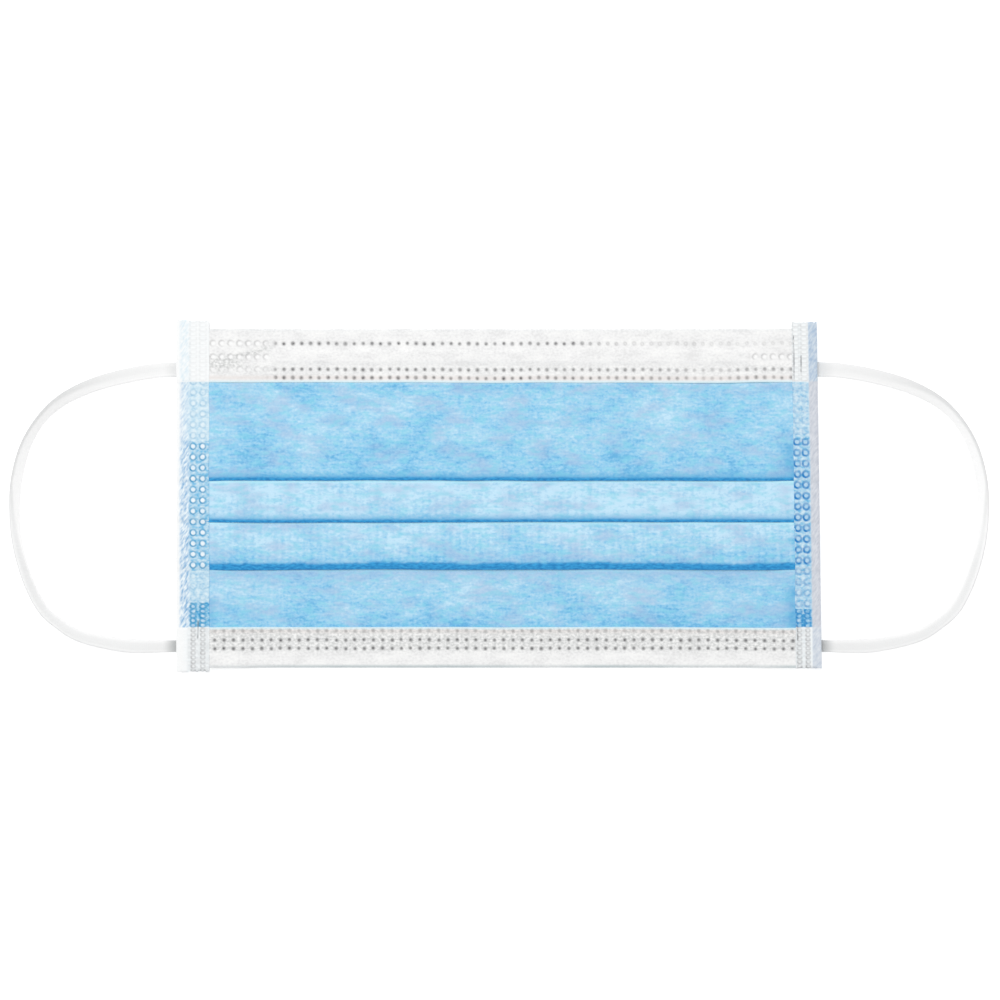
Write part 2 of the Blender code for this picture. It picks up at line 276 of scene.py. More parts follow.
# The stage: the white sweep's half width and its place under the mask, the sky, and the lights
# with their places, sizes and watts
SWEEP_HALF = 1.5
SWEEP_HEIGHT = -0.05 * MM
SWEEP_GLOW = 0.3
SKY_STRENGTH = 0.56
LIGHTS = [
    ("window light", (-0.3, 0.55, 1.1), 0.7, 7.2),
    ("fill light", (0.6, -0.6, 1.0), 1.2, 2.4),
]

# One unit of a cloth's UV map is this long
UV_SPAN = 0.2


def ease(share):
    """Held to 0..1 and eased at both ends: 3 s^2 - 2 s^3."""
    share = np.clip(share, 0.0, 1.0)
    return share * share * (3 - 2 * share)


def soft_noise(u, v, cell_u, cell_v, seed):
    """Noise from -1 to 1: seeded random values at the corners of cells, eased in between."""
    table = np.random.default_rng(seed).uniform(-1, 1, (64, 64))
    a, b = np.broadcast_arrays(u / cell_u, v / cell_v)
    i, j = np.floor(a).astype(int), np.floor(b).astype(int)
    s, t = ease(a - i), ease(b - j)
    near = table[i % 64, j % 64] * (1 - s) + table[(i + 1) % 64, j % 64] * s
    far = table[i % 64, (j + 1) % 64] * (1 - s) + table[(i + 1) % 64, (j + 1) % 64] * s
    return near * (1 - t) + far * t


def lean(x, y):
    """The right-hand half is drawn in towards the nose edge, in proportion to x and y."""
    return x - RIGHT_LEAN * np.maximum(x / HALF_WIDTH, 0.0) * (y / BODY_HEIGHT + 0.5)


def tape_width(x):
    """Width of the binding on the side of x."""
    return np.where(x < 0, LEFT_TAPE, RIGHT_TAPE)


def side_lift(x):
    """Height that the cloth gains towards its sides: nothing in the middle, all at the tape."""
    start = HALF_WIDTH - tape_width(x) - LIFT_SPAN
    return SIDE_LIFT * ease((np.abs(x) - start) / LIFT_SPAN)


def press(x):
    """Share of its own height that the stack keeps: 1 in the middle, PRESSED under the tape."""
    start = HALF_WIDTH - tape_width(x) - PRESS_SPAN
    return 1 - (1 - PRESSED) * ease((np.abs(x) - start) / PRESS_SPAN)


def grid_piece(name, points, facts, uv, thickness, material, turned=False):
    """A surface from a grid of points, rows by columns, with its facts as point attributes.
    Each cell is one face. Solidify gives it its thickness, half to each side."""
    rows, columns = points.shape[:2]
    index = np.arange(rows * columns).reshape(rows, columns)
    corners = [index[:-1, :-1], index[:-1, 1:], index[1:, 1:], index[1:, :-1]]
    if turned:
        corners.reverse()
    quads = np.stack(corners, axis=-1).reshape(-1, 4)
    mesh = bpy.data.meshes.new(name)
    mesh.vertices.add(rows * columns)
    mesh.vertices.foreach_set("co", points.reshape(-1).astype(np.float32))
    mesh.loops.add(quads.size)
    mesh.loops.foreach_set("vertex_index", quads.reshape(-1).astype(np.int32))
    mesh.polygons.add(len(quads))
    mesh.polygons.foreach_set("loop_start", np.arange(0, quads.size, 4, dtype=np.int32))
    mesh.update(calc_edges=True)
    mesh.shade_smooth()
    for key, values in facts.items():
        attribute = mesh.attributes.new(key, "FLOAT", "POINT")
        flat = np.broadcast_to(values, (rows, columns)).reshape(-1)
        attribute.data.foreach_set("value", flat.astype(np.float32))
    layer = mesh.uv_layers.new(name="cloth")
    flat = np.stack(np.broadcast_arrays(*uv), axis=-1).reshape(-1, 2) / UV_SPAN + 0.5
    layer.data.foreach_set("uv", flat[quads.reshape(-1)].reshape(-1).astype(np.float32))
    mesh.validate()
    mesh.materials.append(material)
    piece = bpy.data.objects.new(name, mesh)
    bpy.context.scene.collection.objects.link(piece)
    if thickness:
        wall = piece.modifiers.new("thickness", "SOLIDIFY")
        wall.thickness = thickness
        wall.offset = 0.0
    return piece


# The pleated web

def strip_height(index, y):
    """Height of a strip's middle at y. Strip 0 is the upper panel and strip 3 the lower one. A
    strip starts on the floor at the hidden fold above it, climbs to clear the next hidden fold,
    and from there lies two levels above the strip below it."""
    if index == len(PLEATS):
        return np.full_like(y, BASE)
    next_hidden = HIDDEN[index]
    if index == 0:
        share = ease((next_hidden + APPROACH - y) / APPROACH)
    else:
        share = (HIDDEN[index - 1] - y) / (HIDDEN[index - 1] - next_hidden)
    climb = BASE + 2 * LEVEL * share
    return np.where(y < next_hidden, strip_height(index + 1, y) + 2 * LEVEL, climb)


def run_down(start, end, step):
    """Places from start down to end, about one step apart, the end left out."""
    count = max(2, int(round(abs(start - end) / step)))
    return np.linspace(start, end, count, endpoint=False)


def web_profile():
    """The web's section from the nose edge to the chin edge, as columns: y, z, the strip, the
    distance above the strip's own fold line, and whether the place shows from above.
    A visible fold is a quarter ellipse down to its line and a smaller one back under it. The
    reversed layer lies one level above the strip below. A hidden fold is a half circle."""
    parts = []

    def put(y, z, strip, above, shows):
        columns = np.broadcast_arrays(y, z, float(strip), above, float(shows))
        parts.append(np.stack(columns, axis=-1))

    start = NOSE_EDGE - EDGE_SETBACK
    for i, (row, line, hidden) in enumerate(zip(PLEATS, LINES, HIDDEN)):
        if i:
            y = run_down(HIDDEN[i - 1], LINES[i - 1], 0.8 * MM)
            put(y, strip_height(i, y), i, y - line, False)
            start = LINES[i - 1]
        y = run_down(start, line + row["nose"], 0.5 * MM)
        put(y, strip_height(i, y), i, y - line, True)
        top = float(strip_height(i, np.array(line + row["nose"])))
        under = float(strip_height(i + 1, np.array(line))) + LEVEL
        crease = under + 0.15 * LEVEL
        turn = np.linspace(0, math.pi / 2, 12, endpoint=False)
        across = row["nose"] * (1 - np.sin(turn))
        put(line + across, crease + (top - crease) * np.cos(turn), i, across, True)
        turn = np.linspace(0, math.pi / 2, 5, endpoint=False)
        across = UNDER_TURN * (1 - np.cos(turn))
        put(line + across, crease - (crease - under) * np.sin(turn), i, 0.0, False)
        y = run_down(line + UNDER_TURN, hidden, 1.2 * MM)
        put(y, strip_height(i + 1, y) + LEVEL, i, 0.0, False)
        turn = np.linspace(0, math.pi, 8, endpoint=False)
        across = LEVEL / 2 * np.sin(turn)
        put(hidden + across, BASE + LEVEL / 2 * (1 + np.cos(turn)), i, 0.0, False)
    last = len(PLEATS)
    y = run_down(HIDDEN[-1], LINES[-1], 0.8 * MM)
    put(y, strip_height(last, y), last, 1.0, False)
    y = np.linspace(LINES[-1], CHIN_EDGE + EDGE_SETBACK, 52)
    put(y, strip_height(last, y), last, 1.0, True)
    return np.concatenate(parts)


PROFILE = web_profile()


def top_height(y):
    """Height of the cloth's visible surface at y, read from the profile."""
    seen = PROFILE[PROFILE[:, 4] > 0]
    order = np.argsort(seen[:, 0])
    return np.interp(y, seen[order, 0], seen[order, 1]) + PLY_OFFSET


def wander(x, seed, size):
    """How far a fold strays from its straight line: slow noise along X."""
    slow = soft_noise(x, 0.0 * x, 31 * MM, 1.0, seed)
    quick = soft_noise(x, 0.0 * x, 9 * MM, 1.0, seed + 1)
    return size * (0.7 * slow + 0.3 * quick)


def fold_shift(x, y, strip):
    """The shift along Y of each place: a fold's wandering, faded out 6 mm above its line."""
    shift = np.zeros(np.broadcast_shapes(x.shape, y.shape))
    for i, line in enumerate(LINES):
        near = ease(1 - np.abs(y - line) / (6 * MM)) * (strip == i)
        shift = shift + near * wander(x, 40 + 7 * i, 0.22 * MM)
    return shift


def panel_stations():
    """Places along X, 1 mm apart, from flange edge to flange edge."""
    return np.linspace(-HALF_WIDTH + WEB_INSET, HALF_WIDTH - WEB_INSET, 173)


def build_ply(name, side, material):
    """One ply of the web: the profile moved sideways by PLY_OFFSET, carried along X, pressed and
    lifted towards the sides, with shallow horizontal creases. side is 1 outside, -1 inside."""
    y, z, strip, above, shows = (PROFILE[:, k][None, :] for k in range(5))
    run, rise = np.gradient(y[0]), np.gradient(z[0])
    length = np.hypot(run, rise)
    offset = side * PLY_OFFSET
    x = panel_stations()[:, None]
    keep = press(x)
    y_ply = y + offset * rise / length + fold_shift(x, y, strip)
    z_ply = z - offset * run / length * np.minimum(keep * 1.5, 1.0)
    along = np.concatenate([[0.0], np.cumsum(np.hypot(np.diff(y[0]), np.diff(z[0])))])[None, :]
    crease = soft_noise(x, along, 13 * MM, 2.6 * MM, 3) * 0.6
    crease = crease + soft_noise(x + along, along, 6 * MM, 1.6 * MM, 4) * 0.4
    puff = soft_noise(x, along, 34 * MM, 11 * MM, 5)
    free = shows * (keep - PRESSED) / (1 - PRESSED)
    relief = (0.05 * MM * crease + 0.12 * MM * puff) * free
    height = side_lift(x) + keep * (z_ply + relief)
    points = np.stack(np.broadcast_arrays(lean(x, y_ply), y_ply, height), axis=-1)
    ribbed = ((strip == 1) | (strip == 2)) * shows
    # Painted shade: the lower panel is painted greyer for 5.5 mm under the third fold
    dull = 0.55 * ease(1 - (LINES[-1] - y) / (5.5 * MM)) * (strip == len(PLEATS))
    facts = {"ribbed": ribbed, "dull": dull}
    keys = ("shade", "roll", "seam", "rim")
    facts.update(zip(keys, fold_shade(x, y, strip, above, shows)))
    return grid_piece(name, points, facts, (x, along), PLY, material, turned=True)


def fold_shade(x, y, strip, above, shows):
    """How deep the blue is; the darker band in the last millimetres above each fold, painted shade
    where the fold turns away from the light; the deep seam along its edge, doubled cloth and
    painted shade in the crevice; and the pale rim under it, painted light. Right at the edge the
    next strip is painted deeper too, painted shade under the fold. The depth follows DEPTHS down
    each strip.
    The cloth is deeper in the STAINS, and painted paler where the nose hem's edge lies on it,
    painted light against the shadow of that edge."""
    upper = np.array([NOSE_EDGE - NOSE_HEM, *LINES])
    lower = np.array([*LINES, CHIN_EDGE + CHIN_HEM])
    shade = np.zeros(np.broadcast_shapes(x.shape, y.shape))
    roll, seam, rim = shade.copy(), shade.copy(), shade.copy()
    for i, pairs in enumerate(DEPTHS):
        share = (upper[i] - y) / (upper[i] - lower[i])
        shade = np.where(strip == i, np.interp(share, *zip(*pairs)), shade)
    for i, row in enumerate(PLEATS):
        # Painted shade: the cloth darkens over the last millimetres above each fold line
        roll = np.where(strip == i, ease(1 - above / ROLL_SHADE) ** 1.8, roll)
        # The deep seam: doubled cloth and painted shade in the crevice, its upper side uneven
        ragged = row["ragged"] * soft_noise(x, 0 * y, 1.3 * MM, 1.0, 60 + i)
        ragged = ragged + 0.16 * soft_noise(x, 0 * y, 8 * MM, 1.0, 64 + i)
        line = ease((row["seam"] * (1 + ragged) - above) / (0.8 * MM) + 0.4)
        seam = np.where(strip == i, line, seam)
        # Painted light: a thin paler line on the next strip, under the fold's edge
        near = row["rim"] * ease(1.2 - (LINES[i] - y) / (0.9 * MM))
        rim = np.where(strip == i + 1, near, rim)
        # Painted shade: the next strip is deeper right at the fold's edge
        shade_under_edge = row["shade_under_edge"] * ease(1.1 - (LINES[i] - y) / (0.7 * MM))
        roll = np.where(strip == i + 1, np.maximum(roll, shade_under_edge), roll)
    # The STAINS are the cloth's own deeper blue, kept in the same mask as the painted shade
    for side, top, bottom, far, strength in STAINS:
        near = ease((side * x - HALF_WIDTH + tape_width(x) + far) / far) * strength
        uneven = 0.8 + 0.2 * soft_noise(x, y, 1.5 * MM, 1.1 * MM, 71)
        inside = ease((top - y) / (1.5 * MM)) * ease((y - bottom) / (1.5 * MM) + 0.5)
        roll = np.maximum(roll, near * inside * uneven)
    # Painted light: the panel is painted paler just under the nose hem's edge, against its shadow
    pale = ease(1.2 - (NOSE_EDGE - NOSE_HEM - 0.15 * MM - y) / (0.6 * MM))
    shade = np.where(shows > 0, shade - 0.35 * pale, 0.75)
    return shade, 0.8 * roll * shows, np.where(shows > 0, seam, 0.6), rim * shows


# The hems

def dots(x, across, rows, pitch, phase, mean, least):
    """How far into a weld dot each place is: up to 1 at a dot's middle, 0 outside. Dots stand at
    one pitch along X on rows across the hem, each a little off its place, of its own size near
    the mean, and of its own depth from least to 1."""
    number = np.floor((x - phase) / pitch + 0.5)
    off = x - phase - number * pitch
    best = np.zeros(np.broadcast_shapes(x.shape, across.shape))
    for k, row in enumerate(rows):
        aside = 0.10 * MM * soft_noise(number, 0 * x, 1.0, 1.0, 80 + k)
        size = mean * (1 + 0.11 * soft_noise(number, 0 * x, 1.0, 1.0, 90 + k))
        depth = 1 - (1 - least) * (0.5 + 0.5 * soft_noise(number, 0 * x, 1.0, 1.0, 100 + k))
        distance = np.hypot(off - aside, across - row + aside)
        best = np.maximum(best, depth * ease(1.25 - distance / size))
    return best


def rings(along, across, pitch, radius, line, corner=2):
    """Ring and middle of weld marks at one pitch on one row: 1 on the ring's line, and 1 inside
    it. A higher corner makes them square."""
    off = (along + pitch / 2) % pitch - pitch / 2
    distance = (np.abs(off) ** corner + np.abs(across) ** corner) ** (1 / corner)
    inside = ease((radius - 1.15 * line - distance) / line + 0.5)
    return ease(1.45 - np.abs(distance - radius) / line), inside


def build_hem(name, edge, width, kind, material):
    """A hem: a flap of the inner ply on top of the panel, turned down round its edge. Its section
    is a straight run across the flap, then a quarter circle, then a short fall to the floor. The
    weld dots are pits in it, and the nose-wire channel is a low arch."""
    nose = kind == "nose"
    way = 1.0 if nose else -1.0
    x = np.arange(-HALF_WIDTH + HEM_INSET, HALF_WIDTH - HEM_INSET, HEM_STEP)[:, None]
    free_end = width + (0.15 * MM if nose else 0.0)
    turn_at = 0.7 * MM
    radius = 0.6 * MM
    flat = np.linspace(free_end, turn_at, int(width / HEM_STEP))
    turn = np.linspace(0, math.pi / 2, 5)[1:]
    round_edge = turn_at - 1.3 * radius * np.sin(turn)
    across = np.concatenate([flat, round_edge, [-0.08 * MM]])[None, :]
    drop = np.concatenate([0 * flat, radius * (1 - np.cos(turn)), [radius + FLAP_RISE]])[None, :]
    spread = np.zeros(np.broadcast_shapes(x.shape, across.shape))
    if nose:
        left = ease((RINGS_LEFT - x) / (5 * MM) + 0.5)
        right = ease((x - RINGS_RIGHT) / (1 * MM) + 0.5)
        top_row = across < 5.5 * MM
        dimmed = 0.25 * ease((x - WORN_RIGHT) / (10 * MM)) * top_row
        start, end = TOP_ROW_OPENS
        opens = ease((x - start) / (end - start)) * top_row
        shows = np.where(top_row, 1.0, np.interp(x, *zip(*LOWER_ROWS_SHOW)))
        middles = dots(x, across, NOSE_ROWS[:1], NOSE_PITCH, NOSE_PHASE, 0.5 * NOSE_DOT, 1.0)
        # The dots' grey is partly the thin melted pit and partly painted shade in it
        dot = dots(x, across, NOSE_ROWS, NOSE_PITCH, NOSE_PHASE, NOSE_DOT, 0.8)
        dot = dot * (1 - left) * (1 - dimmed)
        dot = dot * shows * (1 - 0.55 * opens) * (1 - 0.9 * opens * middles)
        ends = np.maximum(ease((RINGS_LEFT - x) / (1 * MM) + 0.5), right)
        ring, hollow = spread, spread
        for row, where in ((NOSE_ROWS[0], left), (NOSE_ROWS[1], 0.6 * left), (NOSE_END_ROW, ends)):
            marks = rings(x - NOSE_PHASE, across - row, NOSE_PITCH, OPEN_RING, RING_LINE)
            off = (x - NOSE_PHASE + NOSE_PITCH / 2) % NOSE_PITCH - NOSE_PITCH / 2
            # The ring's line is painted stronger on its side away from the light: painted shade
            lit = 0.5 - 0.5 * np.cos(np.arctan2(row - across, off) + 0.6)
            ring = np.maximum(ring, 0.7 * where * marks[0] * lit)
            hollow = np.maximum(hollow, where * marks[1])
        arch = 1 - np.abs(across - CHANNEL_CENTRE) / (CHANNEL_WIDTH / 2)
        ridge = CHANNEL_HEIGHT * ease(1.6 * arch) * (1 - np.clip(ends, 0, 1))
        # Round the dots the cloth puckers and is painted darker: painted shade round the pits
        worked = 0.35 * ease(1 - np.abs(across - NOSE_ROWS[1]) / (2.2 * MM))
        # A slanted wrinkle and a patch by the left tape, painted darker as the shade of wrinkles
        from_tape = x + HALF_WIDTH - LEFT_TAPE
        slant = across - 9.6 * MM + 0.28 * from_tape
        worked = worked + 1.1 * left * ease(1 - np.abs(slant) / (1.3 * MM))
        wrinkle_shade = (from_tape - 3.5 * MM) / (6.5 * MM)
        wrinkle_shade = np.hypot(wrinkle_shade, (across - 9.4 * MM) / (2.4 * MM))
        worked = np.maximum(worked, 1.2 * ease(1.3 - wrinkle_shade))
        warm = 0.7 * ease(1 - np.abs(across - NOSE_ROWS[2]) / (1.0 * MM))
        rim = 0.10 * ease(1 - np.abs(across - 0.3 * MM) / (0.6 * MM))
    else:
        dot = dots(x, across, CHIN_ROWS[:2], CHIN_PITCH, CHIN_PHASE, CHIN_DOT, 0.9)
        faint = dots(x, across, CHIN_ROWS[2:], CHIN_PITCH, CHIN_PHASE, CHIN_DOT, 0.6)
        dot = np.maximum(dot, 0.58 * faint)
        ring, hollow = spread, spread
        ridge = 0.0
        # The chin hem's band of dots puckers and is painted darker: painted shade round the pits
        worked = ease((across - 3.2 * MM) / (2.5 * MM))
        warm = 0.7 * ease(1 - np.abs(across - CHIN_ROWS[2]) / (1.2 * MM))
        rim = 0.5 + 0.35 * soft_noise(x, 0 * x, 14 * MM, 1.0, 15)
        rim = rim * ease(1.0 - np.abs(across - 0.2 * MM) / (0.8 * MM))
    free = ease((across - free_end + 0.9 * MM) / (0.9 * MM))
    y = edge - way * (across - (0.0 if nose else 0.12 * MM))
    edge_wave = 0.12 * MM * soft_noise(x, 0 * x, 12 * MM, 1.0, 11 if nose else 12)
    y = y + edge_wave * ease(across / width * 1.5 - 0.3)
    keep = press(x)
    puckers = 0.05 * MM * soft_noise(x, across, 2.6 * MM, 2.2 * MM, 14) * worked
    relief = 0.06 * MM * soft_noise(x, across, 9 * MM, 3 * MM, 13) + puckers
    flap = BASE + PLY_OFFSET + FLAP_RISE - 0.12 * MM * free
    flap = flap + (ridge + relief) * ease(across / (2 * MM)) * (1 - free)
    height = side_lift(x) + keep * (flap - drop) - keep * (DOT_PIT * dot + RING_PIT * ring)
    points = np.stack(np.broadcast_arrays(lean(x, y), y, height), axis=-1)
    facts = {"weld": dot, "ring": ring, "hollow": hollow, "rim": 0.9 * rim}
    facts.update({"free": 0.85 * free, "worked": worked, "warm": warm})
    return grid_piece(name, points, facts, (x, across), PLY, material, turned=nose)


# The side bindings

def stretch_values(word, y):
    """How much blue comes through a binding at y and how strongly its marks show, with 0.4 mm to
    change from each stretch to the next."""
    ends, _, *columns = zip(*STRETCHES[word])
    for column in columns:
        value = np.full_like(y, column[0])
        for end, before, after in zip(ends, column, column[1:]):
            value = value + (after - before) * ease((end - y) / (0.4 * MM) + 0.5)
        yield value


def weld_marks(word, side, off_edge, y):
    """Lines and middles of a binding's weld marks, in the columns and stretches of its side. A
    line is strongest at its lower left, away from the light."""
    line, fill = np.zeros(off_edge.shape), np.zeros(off_edge.shape)
    top = math.inf
    for end, kind, _, _ in STRETCHES[word]:
        here = (y <= top) & (y > end)
        top = end
        pitch, radius, wide = (length * MM for length in MARKS[kind][:3])
        flat, corner, middle = MARKS[kind][3:]
        for column in COLUMNS[word]:
            across, along = (off_edge - column) * flat, y - PHASE[word]
            marks = rings(along, across, pitch, radius, wide, corner)
            off = (along + pitch / 2) % pitch - pitch / 2
            lit = 0.5 - 0.5 * np.cos(np.arctan2(off, -side * across) - 0.9)
            line = np.where(here, np.maximum(line, marks[0] * (0.55 + 0.45 * lit)), line)
            fill = np.where(here, np.maximum(fill, marks[1] * middle), fill)
    return line, fill


def build_binding(name, word, side, material):
    """Tape folded round a side: a run across the top at the height of the cloth below it, a half
    circle round the outer edge, and a run back underneath. The rows go along Y."""
    width = LEFT_TAPE if side < 0 else RIGHT_TAPE
    low = LEFT_LOW[1] if side < 0 else RIGHT_LOW[1] + RIGHT_CHIN_GAP
    high = LEFT_HIGH[1] if side < 0 else RIGHT_HIGH[1] - RIGHT_NOSE_GAP
    y = np.arange(low, high, TAPE_STEP_ALONG)[:, None]
    cloth = top_height(y[:, 0])
    hem = (y[:, 0] > NOSE_EDGE - NOSE_HEM) | (y[:, 0] < CHIN_EDGE + CHIN_HEM)
    cloth = np.where(hem, BASE + PLY_OFFSET + FLAP_RISE, cloth)
    kernel = np.hanning(13)
    cloth = np.convolve(np.pad(cloth, 6, mode="edge"), kernel / kernel.sum(), mode="valid")
    share = np.linspace(0, 1, int(width / TAPE_STEP_ACROSS))[None, :]
    top = SIDE_LIFT + PRESSED * cloth[:, None] + TAPE_OVER_CLOTH
    back = SIDE_LIFT - TAPE_BACK_DROP
    radius = (top - back) / 2
    fold = HALF_WIDTH - PLY / 2 - radius
    inner = HALF_WIDTH - width
    leg = inner + (fold - inner) * share
    turn = np.linspace(0, math.pi, 14)[None, 1:]
    back_share = np.linspace(1, 0, 14)[None, 1:]
    back_leg = inner + (fold - inner) * back_share
    out = np.concatenate([leg, fold + radius * np.sin(turn), back_leg], axis=1)
    round_edge = (top + back) / 2 + radius * np.cos(turn)
    height = np.concatenate([top + 0 * leg, round_edge, back + 0 * back_leg], axis=1)
    on_top = (np.arange(out.shape[1]) < share.size)[None, :].astype(float)
    off_edge = HALF_WIDTH - out
    line, fill = weld_marks(word, side, off_edge, y)
    uneven = 0.84 + 0.22 * soft_noise(off_edge, y, 0.8 * MM, 0.8 * MM, 35)
    under, shows = stretch_values(word, y)
    shows = shows * on_top * uneven
    line, fill = line * shows, fill * shows
    covers = under > 0.2
    cool = ease((y - NOSE_EDGE + NOSE_HEM) / (0.4 * MM))
    if side > 0:
        cool = cool + 0.4 * ease((CHIN_EDGE + CHIN_HEM - y) / (0.4 * MM))
    if side < 0:
        outer = ease((off_edge - 0.5 * MM) / (1.2 * MM)) * ease((4.4 * MM - off_edge) / (1.4 * MM))
        strong = ease((14.97 * MM - y) / (6 * MM) + 0.5)
        outer = outer * ((0.55 + 0.45 * strong) * covers + 0.75 * cool)
        under = under * ease((off_edge - 0.8 * MM) / (3.4 * MM))
    else:
        outer = ease((2.5 * MM - off_edge) / (0.5 * MM) + 0.5)
        outer = outer * np.where(y < CHIN_EDGE + CHIN_HEM, 0.8, 1.0)
    crease = np.zeros(out.shape)
    # The creases are drawn grey: painted shade in the creases
    for place, start, end, wide in CREASES[word]:
        stray = 0.15 * MM * soft_noise(y, 0 * y, 3 * MM, 1.0, 31)
        ends_of = ease((start - y) / MM + 0.5) * ease((y - end) / MM + 0.5)
        broken = 0.7 + 0.3 * soft_noise(y, 0 * y, 1.2 * MM, 1.0, 32)
        mark = ends_of * broken * ease(1.5 - np.abs(off_edge - place - stray) / wide)
        crease = np.maximum(crease, 0.85 * mark * on_top)
    # The chin end is painted grey, most at its very end, and the right side's outer edge gets a
    # grey line of painted shade where the tape turns down
    speck = 0.5 + 0.5 * soft_noise(off_edge, y, 0.7 * MM, 0.5 * MM, 36)
    dimmed = 0.20 * ease((CHIN_EDGE + CHIN_HEM - y) / (0.5 * MM)) * ease((off_edge - 2.6 * MM) / MM)
    dimmed = dimmed + 0.40 * ease(1 - (y - low) / (0.9 * MM)) * ease((off_edge - 0.8 * MM) / MM)
    if side > 0:
        dimmed = dimmed + 0.30 * ease(1 - off_edge / (0.7 * MM))
    crease = np.maximum(crease, dimmed * speck * on_top)

    ends = soft_noise(out, y, 0.5 * MM, 200 * MM, 21 + side)
    near_end = ease(1 - (high - y) / (1.5 * MM)) - ease(1 - (y - low) / (1.5 * MM))
    frayed = (0.3 if side < 0 else 0.1) * MM
    y_tape = y + near_end * frayed * ends
    rim = ease((inner + 1.5 * MM - out) / (1.5 * MM))
    out = out + 0.10 * MM * soft_noise(y, out * 0, 7 * MM, 1.0, 25 + side) * rim
    rough = 0.06 * MM * soft_noise(out, y, 1.1 * MM, 1.5 * MM, 27) * on_top
    pits = MARK_PIT * line + FILL_PIT * fill + RIM_PIT * rim + CREASE_PIT * crease
    height = height + rough - pits * on_top
    x = side * out
    points = np.stack(np.broadcast_arrays(lean(x, y_tape), y_tape, height), axis=-1)
    facts = {"line": line, "fill": fill, "under": under, "outer": outer}
    facts.update({"covers": covers, "cool": cool, "crease": crease})
    return grid_piece(name, points, facts, (out, y), PLY, material, turned=side > 0)


# The ear loops

def smooth_route(points, per_leg):
    """A curve through the points by cubics that share their slopes, as whole arrays."""
    points = np.array(points)
    padded = np.concatenate([points[:1], points, points[-1:]])
    t = (np.arange(per_leg) / per_leg)[None, :, None]
    a, b, c, d = (padded[k : k + len(points) - 1][:, None, :] for k in range(4))
    curve = (
        a * (-t + 2 * t**2 - t**3)
        + b * (2 - 5 * t**2 + 3 * t**3)
        + c * (t + 4 * t**2 - 3 * t**3)
        + d * (-(t**2) + t**3)
    ) / 2
    return np.concatenate([curve.reshape(-1, points.shape[1]), points[-1:]])


def build_loop(name, side, material):
    """An ear loop: a flat section with soft ribs and round edges, carried along the route and
    turned about it. It rests on its lower edge. Returns the piece and its middle line."""
    route = [(-BAND_END, UPPER_EXIT, 0.0)]
    for out, down, turn in LOOP_ROUTE:
        y = UPPER_EXIT - down * (UPPER_EXIT + LOWER_EXIT)
        route.append((out * LOOP_REACH, y, math.radians(turn)))
    route.append((-BAND_END, -LOWER_EXIT, 0.0))
    path = smooth_route(route, 24)
    out, y, turn = path.T
    run = np.gradient(path[:, :2], axis=0)
    run /= np.linalg.norm(run, axis=1, keepdims=True)
    angle = np.linspace(0, 2 * math.pi, 49)
    ribs = (1 + RIB_HEIGHT * np.cos(BAND_RIBS * angle)) / (1 + RIB_HEIGHT)
    profile, bulge = (
        np.sign(wave) * np.abs(wave) ** BAND_CORNER for wave in (np.cos(angle), np.sin(angle))
    )
    wide = np.where(y < 0, 1 - (1 - GATHERED) * ease(1 - out / GATHERED_SPAN), 1.0)
    across = BAND_WIDTH / 2 * wide[:, None] * profile[None, :]
    thick = BAND_THICKNESS / 2 * bulge * ribs
    rest = (BAND_WIDTH * wide * np.abs(np.sin(turn)) + BAND_THICKNESS * np.cos(turn)) / 2
    cos, sin = np.cos(turn)[:, None], np.sin(turn)[:, None]
    flat = across * cos - thick[None, :] * sin
    rise = across * sin + thick[None, :] * cos
    x = side * (HALF_WIDTH + out[:, None] - run[:, 1:2] * flat)
    depth = y[:, None] + run[:, 0:1] * flat
    height = rest[:, None] + rise
    points = np.stack([x, depth, height], axis=-1)
    line = np.stack([side * (HALF_WIDTH + out), y, rest], axis=-1)
    along = np.concatenate([[0.0], np.cumsum(np.linalg.norm(np.diff(line, axis=0), axis=1))])
    uv = (along[:, None] - 0.1, across + 3 * thick[None, :])
    # The ends are painted grey: painted shadow where the bands meet the bindings
    ends = np.where(y > 0, 0.18, 0.72) * ease(1 - out / (4.2 * MM))
    # A stripe of painted shade along the band, placed from the table
    shares, *columns = zip(*SHADE_STRIPE)
    middle, half, strength = (
        np.interp(along / along[-1], shares, column)[:, None] for column in columns
    )
    groove = strength * ease(1.2 - np.abs(profile[None, :] - middle) / half)
    facts = {"edge": np.abs(profile)[None, :], "groove": groove, "grip": ends[:, None]}
    piece = grid_piece(name, points, facts, uv, 0.0, material, turned=side < 0)
    close_tube(piece)
    return piece, line, along[-1]


def close_tube(piece):
    """Welds the seam of a tube made as a grid, and closes its two ends."""
    shape = bmesh.new()
    shape.from_mesh(piece.data)
    bmesh.ops.remove_doubles(shape, verts=shape.verts, dist=1e-6)
    rims = [edge for edge in shape.edges if edge.is_boundary]
    bmesh.ops.holes_fill(shape, edges=rims, sides=0)
    bmesh.ops.recalc_face_normals(shape, faces=shape.faces)
    shape.to_mesh(piece.data)
    shape.free()


# Materials

def linear(code):
    """An sRGB hex colour as linear red, green, blue and alpha."""
    levels = [int(code[k : k + 2], 16) / 255 for k in (1, 3, 5)]
    return (*(v / 12.92 if v <= 0.04045 else ((v + 0.055) / 1.055) ** 2.4 for v in levels), 1.0)


